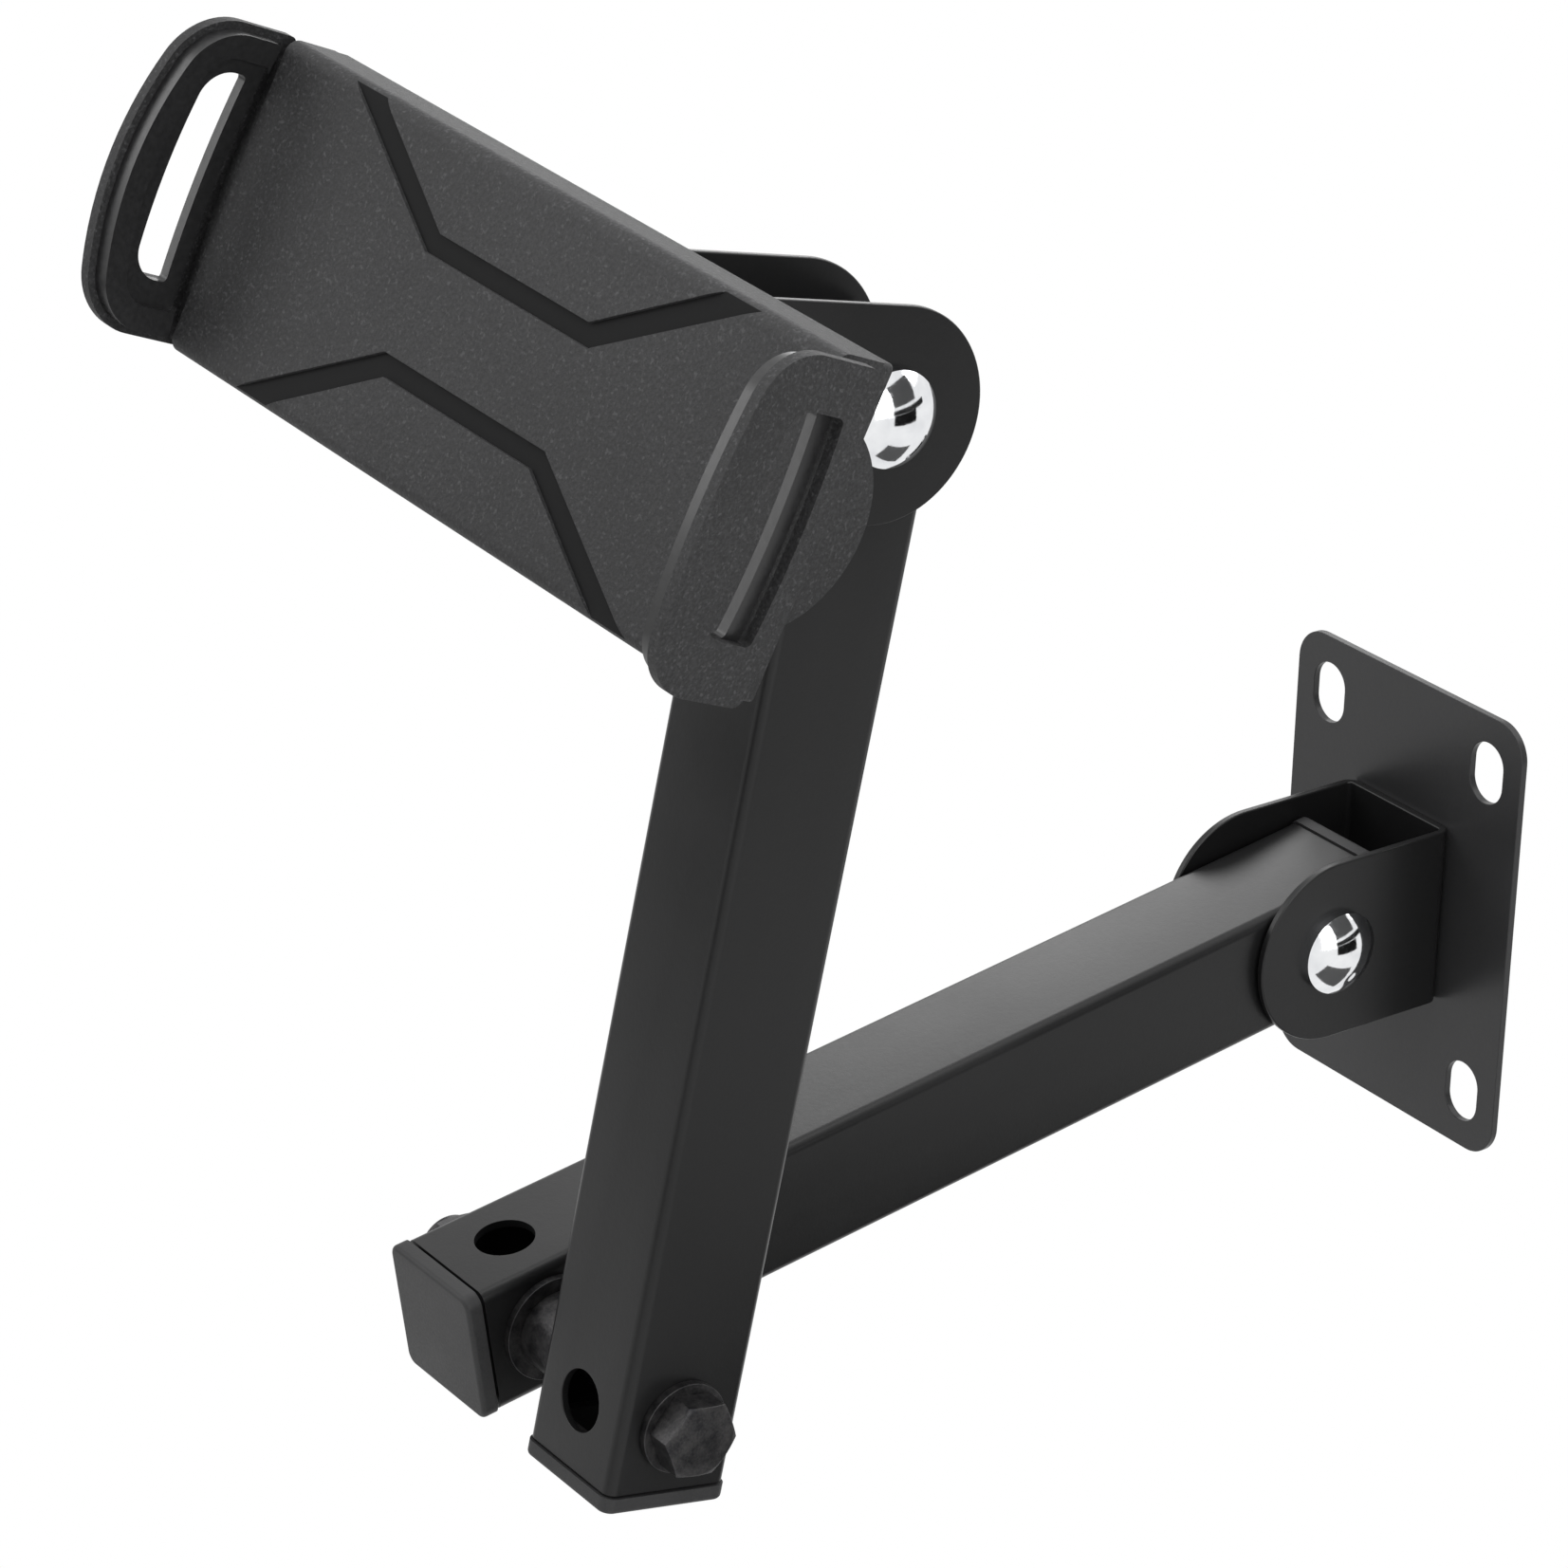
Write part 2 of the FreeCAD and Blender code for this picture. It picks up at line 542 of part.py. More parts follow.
stud_ball = new_body("stud_ball", STUD)
ball_section = new_sketch(stud_ball, "XZ_Plane")
outline(ball_section, [
    ("0", "-neck_end"), ("ball_bore", "-neck_end"),
    ("ball_bore", "-sqrt(ball_half ^ 2 - ball_bore ^ 2)", "ball_half"), ("ball_half", "0", "ball_half"),
    ("0", "ball_half")])
turn(stud_ball, "Revolution", ball_section)

ball_stud_nut = new_body("ball_stud_nut", STUD)
stud_nut = new_sketch(ball_stud_nut, "XY_Plane", "-stud_seat - fork_sheet")
hexagon(stud_nut, "hex_corner")
circle(stud_nut, "(bolt_shank + thread_play) / 2")
pad(ball_stud_nut, stud_nut, "stud_nut", reverse=True)


# Ball pad: nylon cup in front of the ball

ball_pad = new_body("ball_pad", BALL)
cup = new_sketch(ball_pad, "XZ_Plane")
outline(cup, [
    ("cup_half * sin(pad_spread)", "cup_half * cos(pad_spread)"),
    ("pad_outer * sin(pad_spread)", "pad_outer * cos(pad_spread)", "pad_outer"),
    ("0", "pad_outer"), ("0", "cup_half", "-cup_half")])
turn(ball_pad, "Revolution", cup)


# Lock ring: screws onto the socket and holds the ball from behind

lock_ring = new_body("lock_ring", BALL)
ring = new_sketch(lock_ring, "XZ_Plane")
outline(ring, [
    ("sqrt(cup_half ^ 2 - ring_lip_back ^ 2)", "-ring_lip_back"), ("ring_half - ring_chamfer", "-ring_lip_back"),
    ("ring_half", "-ring_lip_back + ring_chamfer"), ("ring_half", "ring_front - ring_chamfer"),
    ("ring_half - ring_chamfer", "ring_front"), ("ring_bore", "ring_front"), ("ring_bore", "-ring_lip_front"),
    ("sqrt(cup_half ^ 2 - ring_lip_front ^ 2)", "-ring_lip_front", "-cup_half")])
turn(lock_ring, "Revolution", ring)


# Front cover: shallow tray with rounded long edges, two grooved bands, bosses and a slot in each end

front_cover = new_body("front_cover", HOLDER)
tray = new_sketch(front_cover, "YZ_Plane")
outline(tray, [("-half_width", "-cover_depth"), ("half_width", "-cover_depth"),
               ("half_width", "-cover_edge", "cover_edge"), ("half_width - cover_edge", "0"),
               ("-half_width + cover_edge", "0", "cover_edge"), ("-half_width", "-cover_edge")])
pad(front_cover, tray, "holder_length", sides="Symmetric")
cavity = new_sketch(front_cover, "XY_Plane", "-cover_depth")
rounded(cavity, "holder_length - 2 * cover_wall", "holder_width - 2 * cover_wall", "holder_corner")
pocket(front_cover, cavity, "cover_depth - cover_wall", reverse=True)
bosses = new_sketch(front_cover, "XY_Plane", "-cover_depth")
SCREWS = [("%s * screw_across" % i, "%s * screw_up" % k) for i in ("-1", "1") for k in ("-1", "1")]
for across, up in SCREWS:
    circle(bosses, "boss_half", across, up)
pad(front_cover, bosses, "cover_depth - cover_wall / 2")
pilot = new_sketch(front_cover, "XY_Plane", "-cover_depth")
for across, up in SCREWS:
    circle(pilot, "screw_half + screw_play", across, up)
pocket(front_cover, pilot, "screw_reach", reverse=True)
gate = new_sketch(front_cover, "YZ_Plane")
outline(gate, [("-foot_half - jaw_gap", "-foot_bottom - jaw_gap"), ("foot_half + jaw_gap", "-foot_bottom - jaw_gap"),
               ("foot_half + jaw_gap", "-foot_top + jaw_gap"), ("-foot_half - jaw_gap", "-foot_top + jaw_gap")])
pocket(front_cover, gate, sides="Symmetric")
EDGE = "(half_width + 1)"
INNER_FAR = "(groove_inner_end + (%s - half_width) * (groove_inner_end - groove_inner_run)" \
            " / (half_width - groove_inner_rise))" % EDGE
OUTER_FAR = "(groove_outer_end + (%s - half_width) * (groove_outer_end - groove_outer_run)" \
            " / (half_width - groove_outer_rise))" % EDGE
grooves = new_sketch(front_cover, "XY_Plane")
for s in ("1", "-1"):
    band = [("-" + INNER_FAR, EDGE), ("-groove_inner_run", "groove_inner_rise"),
            ("groove_inner_run", "groove_inner_rise"), (INNER_FAR, EDGE), (OUTER_FAR, EDGE),
            ("groove_outer_run", "groove_outer_rise"), ("-groove_outer_run", "groove_outer_rise"),
            ("-" + OUTER_FAR, EDGE)]
    outline(grooves, [("%s * (%s)" % (s, x), "%s * %s" % (s, y)) for x, y in band])
pocket(front_cover, grooves, "groove_depth")


# Back shell: flange plate, hollow round spine and the socket boss for the ball

def spine_arc(radius, top):
    """Lower part of a circle about the spine's axis, closed straight across at the given depth."""
    half = "sqrt((%s) ^ 2 - (%s - spine_axis_depth) ^ 2)" % (radius, top)
    return half, [("-" + half, "-" + top, radius), ("0", "-spine_axis_depth - " + radius, radius),
                  (half, "-" + top)]


back_shell = new_body("back_shell", HOLDER)
flange = new_sketch(back_shell, "XY_Plane", "-shell_back")
rounded(flange, "holder_length", "holder_width", "holder_corner")
for across, up in SCREWS:
    circle(flange, "screw_half + screw_play", across, up)
pad(back_shell, flange, "flange_sheet")
spine = new_sketch(back_shell, "YZ_Plane")
outline(spine, spine_arc("spine_half", "(cover_depth + flange_sheet / 2)")[1])
pad(back_shell, spine, "2 * spine_end", sides="Symmetric")
bore = new_sketch(back_shell, "YZ_Plane")
bore_half, bore_arc = spine_arc("spine_inner", "(cover_depth + flange_sheet / 2)")
outline(bore, bore_arc + [(bore_half, "-cover_depth + 0.1"), ("-" + bore_half, "-cover_depth + 0.1")])
pocket(back_shell, bore, "2 * (spine_end - spine_end_wall)", sides="Symmetric")
boss = new_sketch(back_shell, "XY_Plane", "-ball_depth - socket_back")
circle(boss, "socket_half")
pad(back_shell, boss, "socket_back + socket_front")
socket = new_sketch(back_shell, "XZ_Plane")
outline(socket, [("0", "-ball_depth - socket_back - 1"), ("socket_cup", "-ball_depth - socket_back - 1"),
                 ("socket_cup", "-ball_depth", "socket_cup"), ("0", "-ball_depth + socket_cup")])
turn(back_shell, "Groove", socket)
seats = new_sketch(back_shell, "YZ_Plane")
for across in ("-rod_spread", "rod_spread"):
    circle(seats, "rod_half + rod_play", across, "-rod_depth")
pocket(back_shell, seats, "2 * (spine_end - spine_end_wall + rod_seat)", sides="Symmetric")


# Guide rods, spring and screws of the holder

rods = [solid("Cylinder", "rod_" + name, ("-spine_end + spine_end_wall - rod_seat", across, "-rod_depth"),
              SIDEWAYS, Radius="rod_half", Height="2 * (spine_end - spine_end_wall + rod_seat)")
        for name, across in (("low", "-rod_spread"), ("high", "rod_spread"))]
finish(joined("Compound", "rods", rods), "guide_rods", HOLDER)

screws = []
for number, (across, up) in enumerate(SCREWS):
    stem = solid("Cylinder", "screw_stem_%d" % number, (across, up, "-shell_back"), Radius="screw_half",
                 Height="flange_sheet + screw_reach - 0.5")
    cap = solid("Cylinder", "screw_cap_%d" % number, (across, up, "-shell_back - screw_head"),
                Radius="screw_head_half", Height="screw_head")
    screws.append(boolean("Fuse", "screw_%d" % number, stem, cap))
finish(joined("Compound", "screws", screws), "shell_screws", HOLDER)


def spring_shape():
    """Close-wound extension spring about the x axis, drawn as its ribbed outer form with a bore."""
    start, end = value("crosshead_inner"), value("spine_end - spine_end_wall")
    wire, half = value("spring_wire"), value("spring_half")
    turns = int((end - start) / wire)
    pitch = (end - start) / turns
    inner = half - wire
    edges = [Part.LineSegment(Vector(end, inner, 0), Vector(start, inner, 0)).toShape(),
             Part.LineSegment(Vector(start, inner, 0), Vector(start, half - wire / 2, 0)).toShape()]
    for k in range(turns):
        left = Vector(start + k * pitch, half - wire / 2, 0)
        right = Vector(start + (k + 1) * pitch, half - wire / 2, 0)
        crest = Vector(start + (k + 0.5) * pitch, half, 0)
        edges.append(Part.Arc(left, crest, right).toShape())
    edges.append(Part.LineSegment(Vector(end, half - wire / 2, 0), Vector(end, inner, 0)).toShape())
    face = Part.Face(Part.Wire(edges))
    return face.revolve(Vector(), Vector(1, 0, 0), 360)


jaw_spring = doc.addObject("Part::Feature", "spring")
jaw_spring.Shape = spring_shape()
finish(jaw_spring, "jaw_spring", HOLDER * frame_at(0, 0, -value("rod_depth - rod_half")))


# Jaws: a bowed wall with an arched front edge and a finger slot, on a foot that enters the shell

ACROSS = Rotation(Vector(1, 1, 1), 120)


def side_prism(name, side, draw):
    """Prism along x over one jaw, its outline drawn in the plane across the holder."""
    section = doc.addObject("Sketcher::SketchObject", name + "_sketch")
    draw(section)
    prism = doc.addObject("Part::Extrusion", name)
    prism.Base = section
    prism.DirMode = "Custom"
    prism.Dir = Vector(side, 0, 0)
    prism.Solid = True
    prism.setExpression("LengthFwd", spell("jaw_reach + 5"))
    section.Placement = Placement(Vector(), ACROSS)
    return prism


def bow(name, side, step, low, high):
    """Upright cylinder whose surface follows the jaw's bow, set in from its outer face by step."""
    return solid("Cylinder", name, ("%d * (jaw_reach - jaw_bow_ball)" % side, "0", low),
                 Radius="jaw_bow_ball - (%s)" % step, Height="(%s) - (%s)" % (high, low))


def side_outline(section, half, low, high, back, corner, arch, shift="0"):
    """Outline across the holder: small corners at the back, an arched front edge between round corners."""
    half, corner, arch = "(%s)" % half, "(%s)" % corner, "(%s)" % arch
    rise = "sqrt((%s - %s) ^ 2 - (%s - %s) ^ 2)" % (arch, corner, half, corner)
    side_top = "%s - %s + %s" % (high, arch, rise)
    front_top = "%s - %s + %s * %s / (%s - %s)" % (high, arch, rise, arch, arch, corner)
    front_end = "((%s - %s) * %s / (%s - %s))" % (half, corner, arch, arch, corner)
    outline(section, [
        ("%s - %s + %s" % (shift, half, back), low), ("%s + %s - %s" % (shift, half, back), low, back),
        ("%s + %s" % (shift, half), "%s + %s" % (low, back)), ("%s + %s" % (shift, half), side_top, corner),
        ("%s + %s" % (shift, front_end), front_top, arch), ("%s - %s" % (shift, front_end), front_top, corner),
        ("%s - %s" % (shift, half), side_top), ("%s - %s" % (shift, half), "%s + %s" % (low, back), back)])


def jaw_outline(section):
    side_outline(section, "jaw_width / 2", "-jaw_back", "jaw_front", "jaw_corner_back", "jaw_corner", "jaw_arch")


def finger_slot(low):
    """Drawing of the finger slot from the level low."""
    def draw(section):
        side_outline(section, "finger_length / 2", low, "finger_base + finger_height", "finger_corner_back",
                     "finger_corner", "finger_arch", "finger_shift")
    return draw


def pad_outline(shrink):
    """Drawing of the lining, smaller all round by shrink."""
    def draw(section):
        inset = "(pad_inset + %s)" % shrink
        side_outline(section, "jaw_width / 2 - " + inset, "pad_base", "jaw_front - " + inset, "pad_corner_back",
                     "jaw_corner - " + inset, "jaw_arch - " + inset)
    return draw


def jaw(name, node, side, inner_end):
    """One jaw: side is 1 on the right and -1 on the left; its foot ends at inner_end."""
    wall = boolean("Common", name + "_wall", side_prism(name + "_prism", side, jaw_outline),
                   bow(name + "_outer", side, "0", "-jaw_back - 1", "jaw_front + 1"))
    shell = boolean("Cut", name + "_shell", wall,
                    bow(name + "_inner", side, "jaw_wall", "-jaw_back - 2", "jaw_front + 2"))
    floor_start = "half_length + jaw_gap"
    floor = boolean("Common", name + "_floor",
                    solid("Box", name + "_floor_box",
                          (floor_start if side > 0 else "-jaw_reach", "-floor_half", "-foot_bottom"),
                          Length="jaw_reach - half_length - jaw_gap", Width="2 * floor_half", Height="foot_sheet"),
                    bow(name + "_floor_bow", side, "jaw_wall / 2", "-jaw_back - 1", "jaw_front + 1"))
    foot = solid("Box", name + "_foot",
                 (inner_end if side > 0 else "-jaw_reach + jaw_wall + jaw_bow", "-foot_half", "-foot_bottom"),
                 Length="jaw_reach - jaw_wall - jaw_bow - (%s)" % (inner_end if side > 0 else "-" + inner_end),
                 Width="2 * foot_half", Height="foot_sheet")
    parts = [shell, floor, foot]
    if side < 0:
        parts.append(crosshead(name))
    whole = joined("MultiFuse", name + "_whole", parts)
    tools = [side_prism(name + "_slot", side, finger_slot("finger_base"))]
    if side < 0:
        tools += [solid("Cylinder", "%s_bore_%s" % (name, tag), ("crosshead_inner - crosshead_length - 1", across,
                  "-rod_depth"), SIDEWAYS, Radius="rod_half + rod_play", Height="crosshead_length + 2")
                  for tag, across in (("low", "-rod_spread"), ("high", "rod_spread"))]
        tools = [joined("MultiFuse", name + "_tools", tools)]
    return finish(boolean("Cut", name, whole, tools[0]), node, HOLDER)


def crosshead(name):
    """Block under the tongue's inner end that runs on the guide rods and holds the spring."""
    return solid("Box", name + "_crosshead",
                 ("crosshead_inner - crosshead_length", "-crosshead_half", "-crosshead_back"),
                 Length="crosshead_length", Width="2 * crosshead_half", Height="crosshead_back - foot_top")


def jaw_pad(name, node, side):
    """Soft lining inside the jaw: a thin sheet with a raised ridge and an opening round the finger slot."""
    face, sheet_back = "jaw_wall + pad_seat", "jaw_wall + pad_seat + pad_sheet"
    outer = boolean("Common", name + "_outer", side_prism(name + "_prism", side, pad_outline("0")),
                    bow(name + "_face", side, face, "pad_base - 1", "jaw_front + 1"))
    middle = boolean("Common", name + "_middle", side_prism(name + "_inside", side, pad_outline("ridge_width")),
                     bow(name + "_back", side, sheet_back, "pad_base - 2", "jaw_front + 2"))
    tools = [middle, bow(name + "_crest", side, sheet_back + " + ridge_height", "pad_base - 2", "jaw_front + 2"),
             side_prism(name + "_slot", side, finger_slot("pad_mouth"))]
    finish(boolean("Cut", name, outer, joined("MultiFuse", name + "_tools", tools)), node, HOLDER)


jaw("right_jaw", "fixed_jaw", 1, "foot_inner")
jaw("left_jaw", "sliding_jaw", -1, "crosshead_inner")
jaw_pad("right_pad", "fixed_jaw_pad", 1)
jaw_pad("left_pad", "sliding_jaw_pad", -1)


# Checks and files

NODES = [
    "wall_plate", "wall_fork", "wall_pivot_pin", "wall_friction_washers", "lower_tube", "lower_cap_wall",
    "lower_cap_elbow", "elbow_bolt", "elbow_nut", "elbow_head_washer", "elbow_nut_washer", "elbow_spacer",
    "elbow_spacer_washers", "upper_tube", "upper_cap_elbow", "upper_cap_head", "head_fork", "head_pivot_pin",
    "head_friction_washers", "ball_stud", "stud_ball", "ball_stud_nut", "ball_pad", "lock_ring", "front_cover",
    "back_shell", "fixed_jaw", "fixed_jaw_pad", "sliding_jaw", "sliding_jaw_pad", "guide_rods", "jaw_spring",
    "shell_screws"]

doc.recompute()
for item in doc.Objects:
    if "Invalid" in item.State or "Error" in item.State:
        raise RuntimeError(item.Name + " did not build")
pieces = [doc.getObjectsByLabel(node)[0] for node in NODES]
for piece in pieces:
    if piece.Shape.isNull() or not piece.Shape.isValid() or not piece.Shape.Solids:
        raise RuntimeError(piece.Label + " has no valid solid")
os.makedirs("parts", exist_ok=True)
for piece in pieces:
    piece.Shape.exportStep("parts/%s.step" % piece.Label)
    print("%-24s solids %d  volume %9.1f" % (piece.Label, len(piece.Shape.Solids), piece.Shape.Volume))
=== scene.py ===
import json
import math

import bmesh
import bpy
from mathutils import Matrix, Vector

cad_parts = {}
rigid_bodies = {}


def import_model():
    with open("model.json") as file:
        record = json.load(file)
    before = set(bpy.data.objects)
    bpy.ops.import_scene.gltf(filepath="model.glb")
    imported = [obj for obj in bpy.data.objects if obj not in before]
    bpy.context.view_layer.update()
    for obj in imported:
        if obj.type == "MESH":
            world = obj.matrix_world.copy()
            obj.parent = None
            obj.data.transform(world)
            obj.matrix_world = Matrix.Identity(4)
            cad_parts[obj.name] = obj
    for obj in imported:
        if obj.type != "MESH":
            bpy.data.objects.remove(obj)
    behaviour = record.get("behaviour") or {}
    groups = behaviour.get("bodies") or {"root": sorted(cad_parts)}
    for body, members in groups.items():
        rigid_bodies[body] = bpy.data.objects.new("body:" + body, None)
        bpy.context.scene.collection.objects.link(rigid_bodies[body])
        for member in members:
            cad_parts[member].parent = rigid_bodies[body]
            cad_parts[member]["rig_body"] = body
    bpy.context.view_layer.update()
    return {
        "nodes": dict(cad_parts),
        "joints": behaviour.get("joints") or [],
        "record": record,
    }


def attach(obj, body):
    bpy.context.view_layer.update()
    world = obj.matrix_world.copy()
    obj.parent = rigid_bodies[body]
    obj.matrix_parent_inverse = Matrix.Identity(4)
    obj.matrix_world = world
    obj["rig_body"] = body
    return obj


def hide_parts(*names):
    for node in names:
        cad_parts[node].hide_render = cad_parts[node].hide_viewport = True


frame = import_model()
nodes = frame["nodes"]
record = frame["record"]
MM = 0.001
scene = bpy.context.scene
scene.view_settings.view_transform = "Standard"


# Camera: a long lens, above the mount and to its right, rolled by about a degree as the photograph is.
# It looks at a point between the two arms.

CAMERA_AZIMUTH = math.radians(54.276)
CAMERA_ELEVATION = math.radians(24.496)
CAMERA_ROLL = math.radians(1.137)
CAMERA_TARGET = Vector((-55.676, -110, 28.82)) * MM
CAMERA_DISTANCE = 1018.27 * MM
FRAME_WIDTH = 1653
FOCAL_PIXELS = 5605.95
SENSOR = 36

away = Vector((math.sin(CAMERA_AZIMUTH) * math.cos(CAMERA_ELEVATION),
               -math.cos(CAMERA_AZIMUTH) * math.cos(CAMERA_ELEVATION), math.sin(CAMERA_ELEVATION)))
level = Vector((0, 0, 1)).cross(away).normalized()
upright = away.cross(level)
right = level * math.cos(CAMERA_ROLL) + upright * math.sin(CAMERA_ROLL)
over = upright * math.cos(CAMERA_ROLL) - level * math.sin(CAMERA_ROLL)
camera_data = bpy.data.cameras.new("camera")
camera_data.sensor_width = SENSOR
camera_data.lens = SENSOR * FOCAL_PIXELS / FRAME_WIDTH
camera_data.clip_end = 20
camera = bpy.data.objects.new("camera", camera_data)
scene.collection.objects.link(camera)
camera.matrix_world = (Matrix.Translation(CAMERA_TARGET + away * CAMERA_DISTANCE)
                       @ Matrix((right, over, away)).transposed().to_4x4())
scene.camera = camera


# Shader maths: a value on a socket that can be added, multiplied and compared like a number,
# and a small maker of nodes, which every finish below is drawn with.

class Wave:
    """A value inside a material, with the usual signs for its arithmetic."""

    def __init__(self, maker, socket):
        self.maker = maker
        self.socket = socket

    def joined_with(self, other, operation, swap=False):
        first, second = (other, self) if swap else (self, other)
        return self.maker.node("ShaderNodeMath", {"operation": operation}, {0: first, 1: second})

    def __add__(self, other):
        return self.joined_with(other, "ADD")

    __radd__ = __add__

    def __sub__(self, other):
        return self.joined_with(other, "SUBTRACT")

    def __rsub__(self, other):
        return self.joined_with(other, "SUBTRACT", swap=True)

    def __mul__(self, other):
        return self.joined_with(other, "MULTIPLY")

    __rmul__ = __mul__


class Finish:
    """A procedural material on one Principled shader, patterned on Object coordinates."""

    def __init__(self, name, **constants):
        self.material = bpy.data.materials.new(name)
        self.material.use_nodes = True
        self.tree = self.material.node_tree
        self.shader = self.tree.nodes["Principled BSDF"]
        for socket, constant in constants.items():
            self.shader.inputs[socket.replace("_", " ")].default_value = constant
        self.place = self.node("ShaderNodeTexCoord", {}, {}, "Object")

    def node(self, kind, settings, sockets, output=0):
        made = self.tree.nodes.new(kind)
        for key, setting in settings.items():
            if key == "stops":
                ramp = made.color_ramp.elements
                while len(ramp) < len(setting):
                    ramp.new(0.5)
                for element, (position, colour) in zip(ramp, setting):
                    element.position = position
                    element.color = (*colour, 1)
            else:
                setattr(made, key, setting)
        for key, given in sockets.items():
            if isinstance(given, Wave):
                self.tree.links.new(given.socket, made.inputs[key])
            else:
                made.inputs[key].default_value = given
        return Wave(self, made.outputs[output])

    def noise(self, size, detail=2.0, rough=0.5):
        """Noise with lumps of about the given size, in metres."""
        return self.node("ShaderNodeTexNoise", {}, {"Vector": self.place, "Scale": 1 / size,
                                                    "Detail": detail, "Roughness": rough}, "Fac")

    def cells(self, size):
        """Cell pattern with cells of about the given size, in metres."""
        return self.node("ShaderNodeTexVoronoi", {}, {"Vector": self.place, "Scale": 1 / size}, "Distance")

    def ramp(self, mask, low, high, start, end):
        """Colour that goes from low to high as the mask goes from start to end."""
        stops = [(start, low), (end, high)]
        return self.node("ShaderNodeValToRGB", {"stops": stops}, {"Fac": mask}, "Color")

    def stretch(self, mask, start, end, low, high):
        """Mask between start and end, spread over low to high and kept inside them."""
        return self.node("ShaderNodeMapRange", {}, {"Value": mask, "From Min": start, "From Max": end,
                                                    "To Min": low, "To Max": high}, "Result")

    def feed(self, socket, given):
        self.tree.links.new(given.socket, self.shader.inputs[socket])

    def relief(self, height, depth, strength=1.0):
        """Bump of the given depth in metres."""
        self.feed("Normal", self.node("ShaderNodeBump", {}, {"Height": height, "Distance": depth,
                                                              "Strength": strength}, "Normal"))


# Powder-coated steel: a satin black skin over sheet and tube, baked on, with a faint orange peel
# and softly varying gloss.

def grey(level):
    return (level, level, level * 1.03)


def powder_coat(name, low, high):
    finish = Finish(name, Specular_IOR_Level=0.3)
    cloud = finish.noise(0.06, 3)
    peel = finish.noise(0.0011, 2)
    dust = finish.noise(0.00045, 1)
    finish.feed("Base Color", finish.ramp(cloud + (dust - 0.5) * 0.25, grey(low), grey(high), 0.3, 0.7))
    finish.feed("Roughness", finish.stretch(cloud + (peel - 0.5) * 0.3, 0.3, 0.7, 0.30, 0.38))
    finish.relief(peel + dust * 0.5, 0.00004, 0.35)
    return finish.material


steel_paint = powder_coat("powder_coat", 0.0065, 0.0105)


SHARP = math.radians(28)


def merged_copy(node, name):
    """The node's surface as one joined mesh, smooth except across real edges."""
    mesh = nodes[node].data.copy()
    mesh.materials.clear()
    mesh.name = name
    solid = bmesh.new()
    solid.from_mesh(mesh)
    bmesh.ops.remove_doubles(solid, verts=solid.verts, dist=2e-6)
    bmesh.ops.dissolve_limit(solid, angle_limit=math.radians(0.5), verts=solid.verts, edges=solid.edges,
                             use_dissolve_boundaries=False)
    for edge in solid.edges:
        edge.smooth = len(edge.link_faces) == 2 and edge.calc_face_angle(0) < SHARP
    for face in solid.faces:
        face.smooth = True
    solid.to_mesh(mesh)
    solid.free()
    for layer in ("custom_normal", "sharp_face"):
        if layer in mesh.attributes:
            mesh.attributes.remove(mesh.attributes[layer])
    return mesh


def dress(node, material, edge=0.0, steps=2):
    """The node's finished piece: joined, its sharp edges eased by the given radius, with its material."""
    piece = bpy.data.objects.new(node + "_finished", merged_copy(node, node + "_finished"))
    scene.collection.objects.link(piece)
    piece.data.materials.append(material)
    if edge:
        ease = piece.modifiers.new("eased_edges", "BEVEL")
        ease.width = edge
        ease.segments = steps
        ease.limit_method = "ANGLE"
        ease.angle_limit = SHARP
        ease.harden_normals = True
        ease.use_clamp_overlap = True
    body = nodes[node]["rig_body"]
    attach(piece, body)
    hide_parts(node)
    return piece


# Wall plate and its fork: pressed and bent from 1.5 mm sheet and spot-welded together. The head's fork is
# bent from the same sheet.
# The plate's broad flat face takes a paler copy of the same coat, a painted sheen standing in for the lamp
# reflection it catches.

SHEET_EDGE = 0.35 * MM
# Same powder coat with a lighter base colour: painted sheen on the plate's flat face, not a different
# paint.
plate_coat_painted_sheen = powder_coat("plate_powder_coat_painted_sheen", 0.024, 0.032)
dress("wall_plate", plate_coat_painted_sheen, SHEET_EDGE)
dress("wall_fork", steel_paint, SHEET_EDGE)
dress("head_fork", steel_paint, SHEET_EDGE)


# Arms: 25 mm square tube, drilled through for the pivots, the elbow bolt and a spare cross hole.
# They have the same coat as the forks, and their cut ends are barely eased.

TUBE_EDGE = 0.2 * MM
dress("lower_tube", steel_paint, TUBE_EDGE)
dress("upper_tube", steel_paint, TUBE_EDGE)


# End caps: moulded plastic plugs with a slightly grained flange, pushed into the tube ends.

def moulded_plastic():
    finish = Finish("moulded_plastic", Specular_IOR_Level=0.35)
    grain = finish.noise(0.0005, 2)
    cloud = finish.noise(0.02, 2)
    finish.feed("Base Color", finish.ramp(cloud + (grain - 0.5) * 0.6, grey(0.018), grey(0.030), 0.3, 0.7))
    finish.feed("Roughness", finish.stretch(grain, 0.3, 0.7, 0.5, 0.6))
    finish.relief(grain, 0.00005, 0.5)
    return finish.material


cap_plastic = moulded_plastic()
for cap in ("lower_cap_wall", "lower_cap_elbow", "upper_cap_elbow", "upper_cap_head"):
    dress(cap, cap_plastic)


# Pivot pins: polished chrome domes on both sides of each fork.

def polished_chrome():
    finish = Finish("polished_chrome", Metallic=1.0)
    haze = finish.noise(0.0006, 3)
    smear = finish.noise(0.004, 2)
    finish.feed("Base Color", finish.ramp(smear, (0.74, 0.75, 0.77), (0.86, 0.87, 0.88), 0.3, 0.7))
    finish.feed("Roughness", finish.stretch(haze, 0.35, 0.7, 0.05, 0.12))
    finish.relief(smear + haze * 0.2, 0.00004, 0.25)
    return finish.material


chrome = polished_chrome()
for pin in ("wall_pivot_pin", "head_pivot_pin"):
    dress(pin, chrome)


# Friction washers and the cup of the ball: plain black nylon between the moving faces.

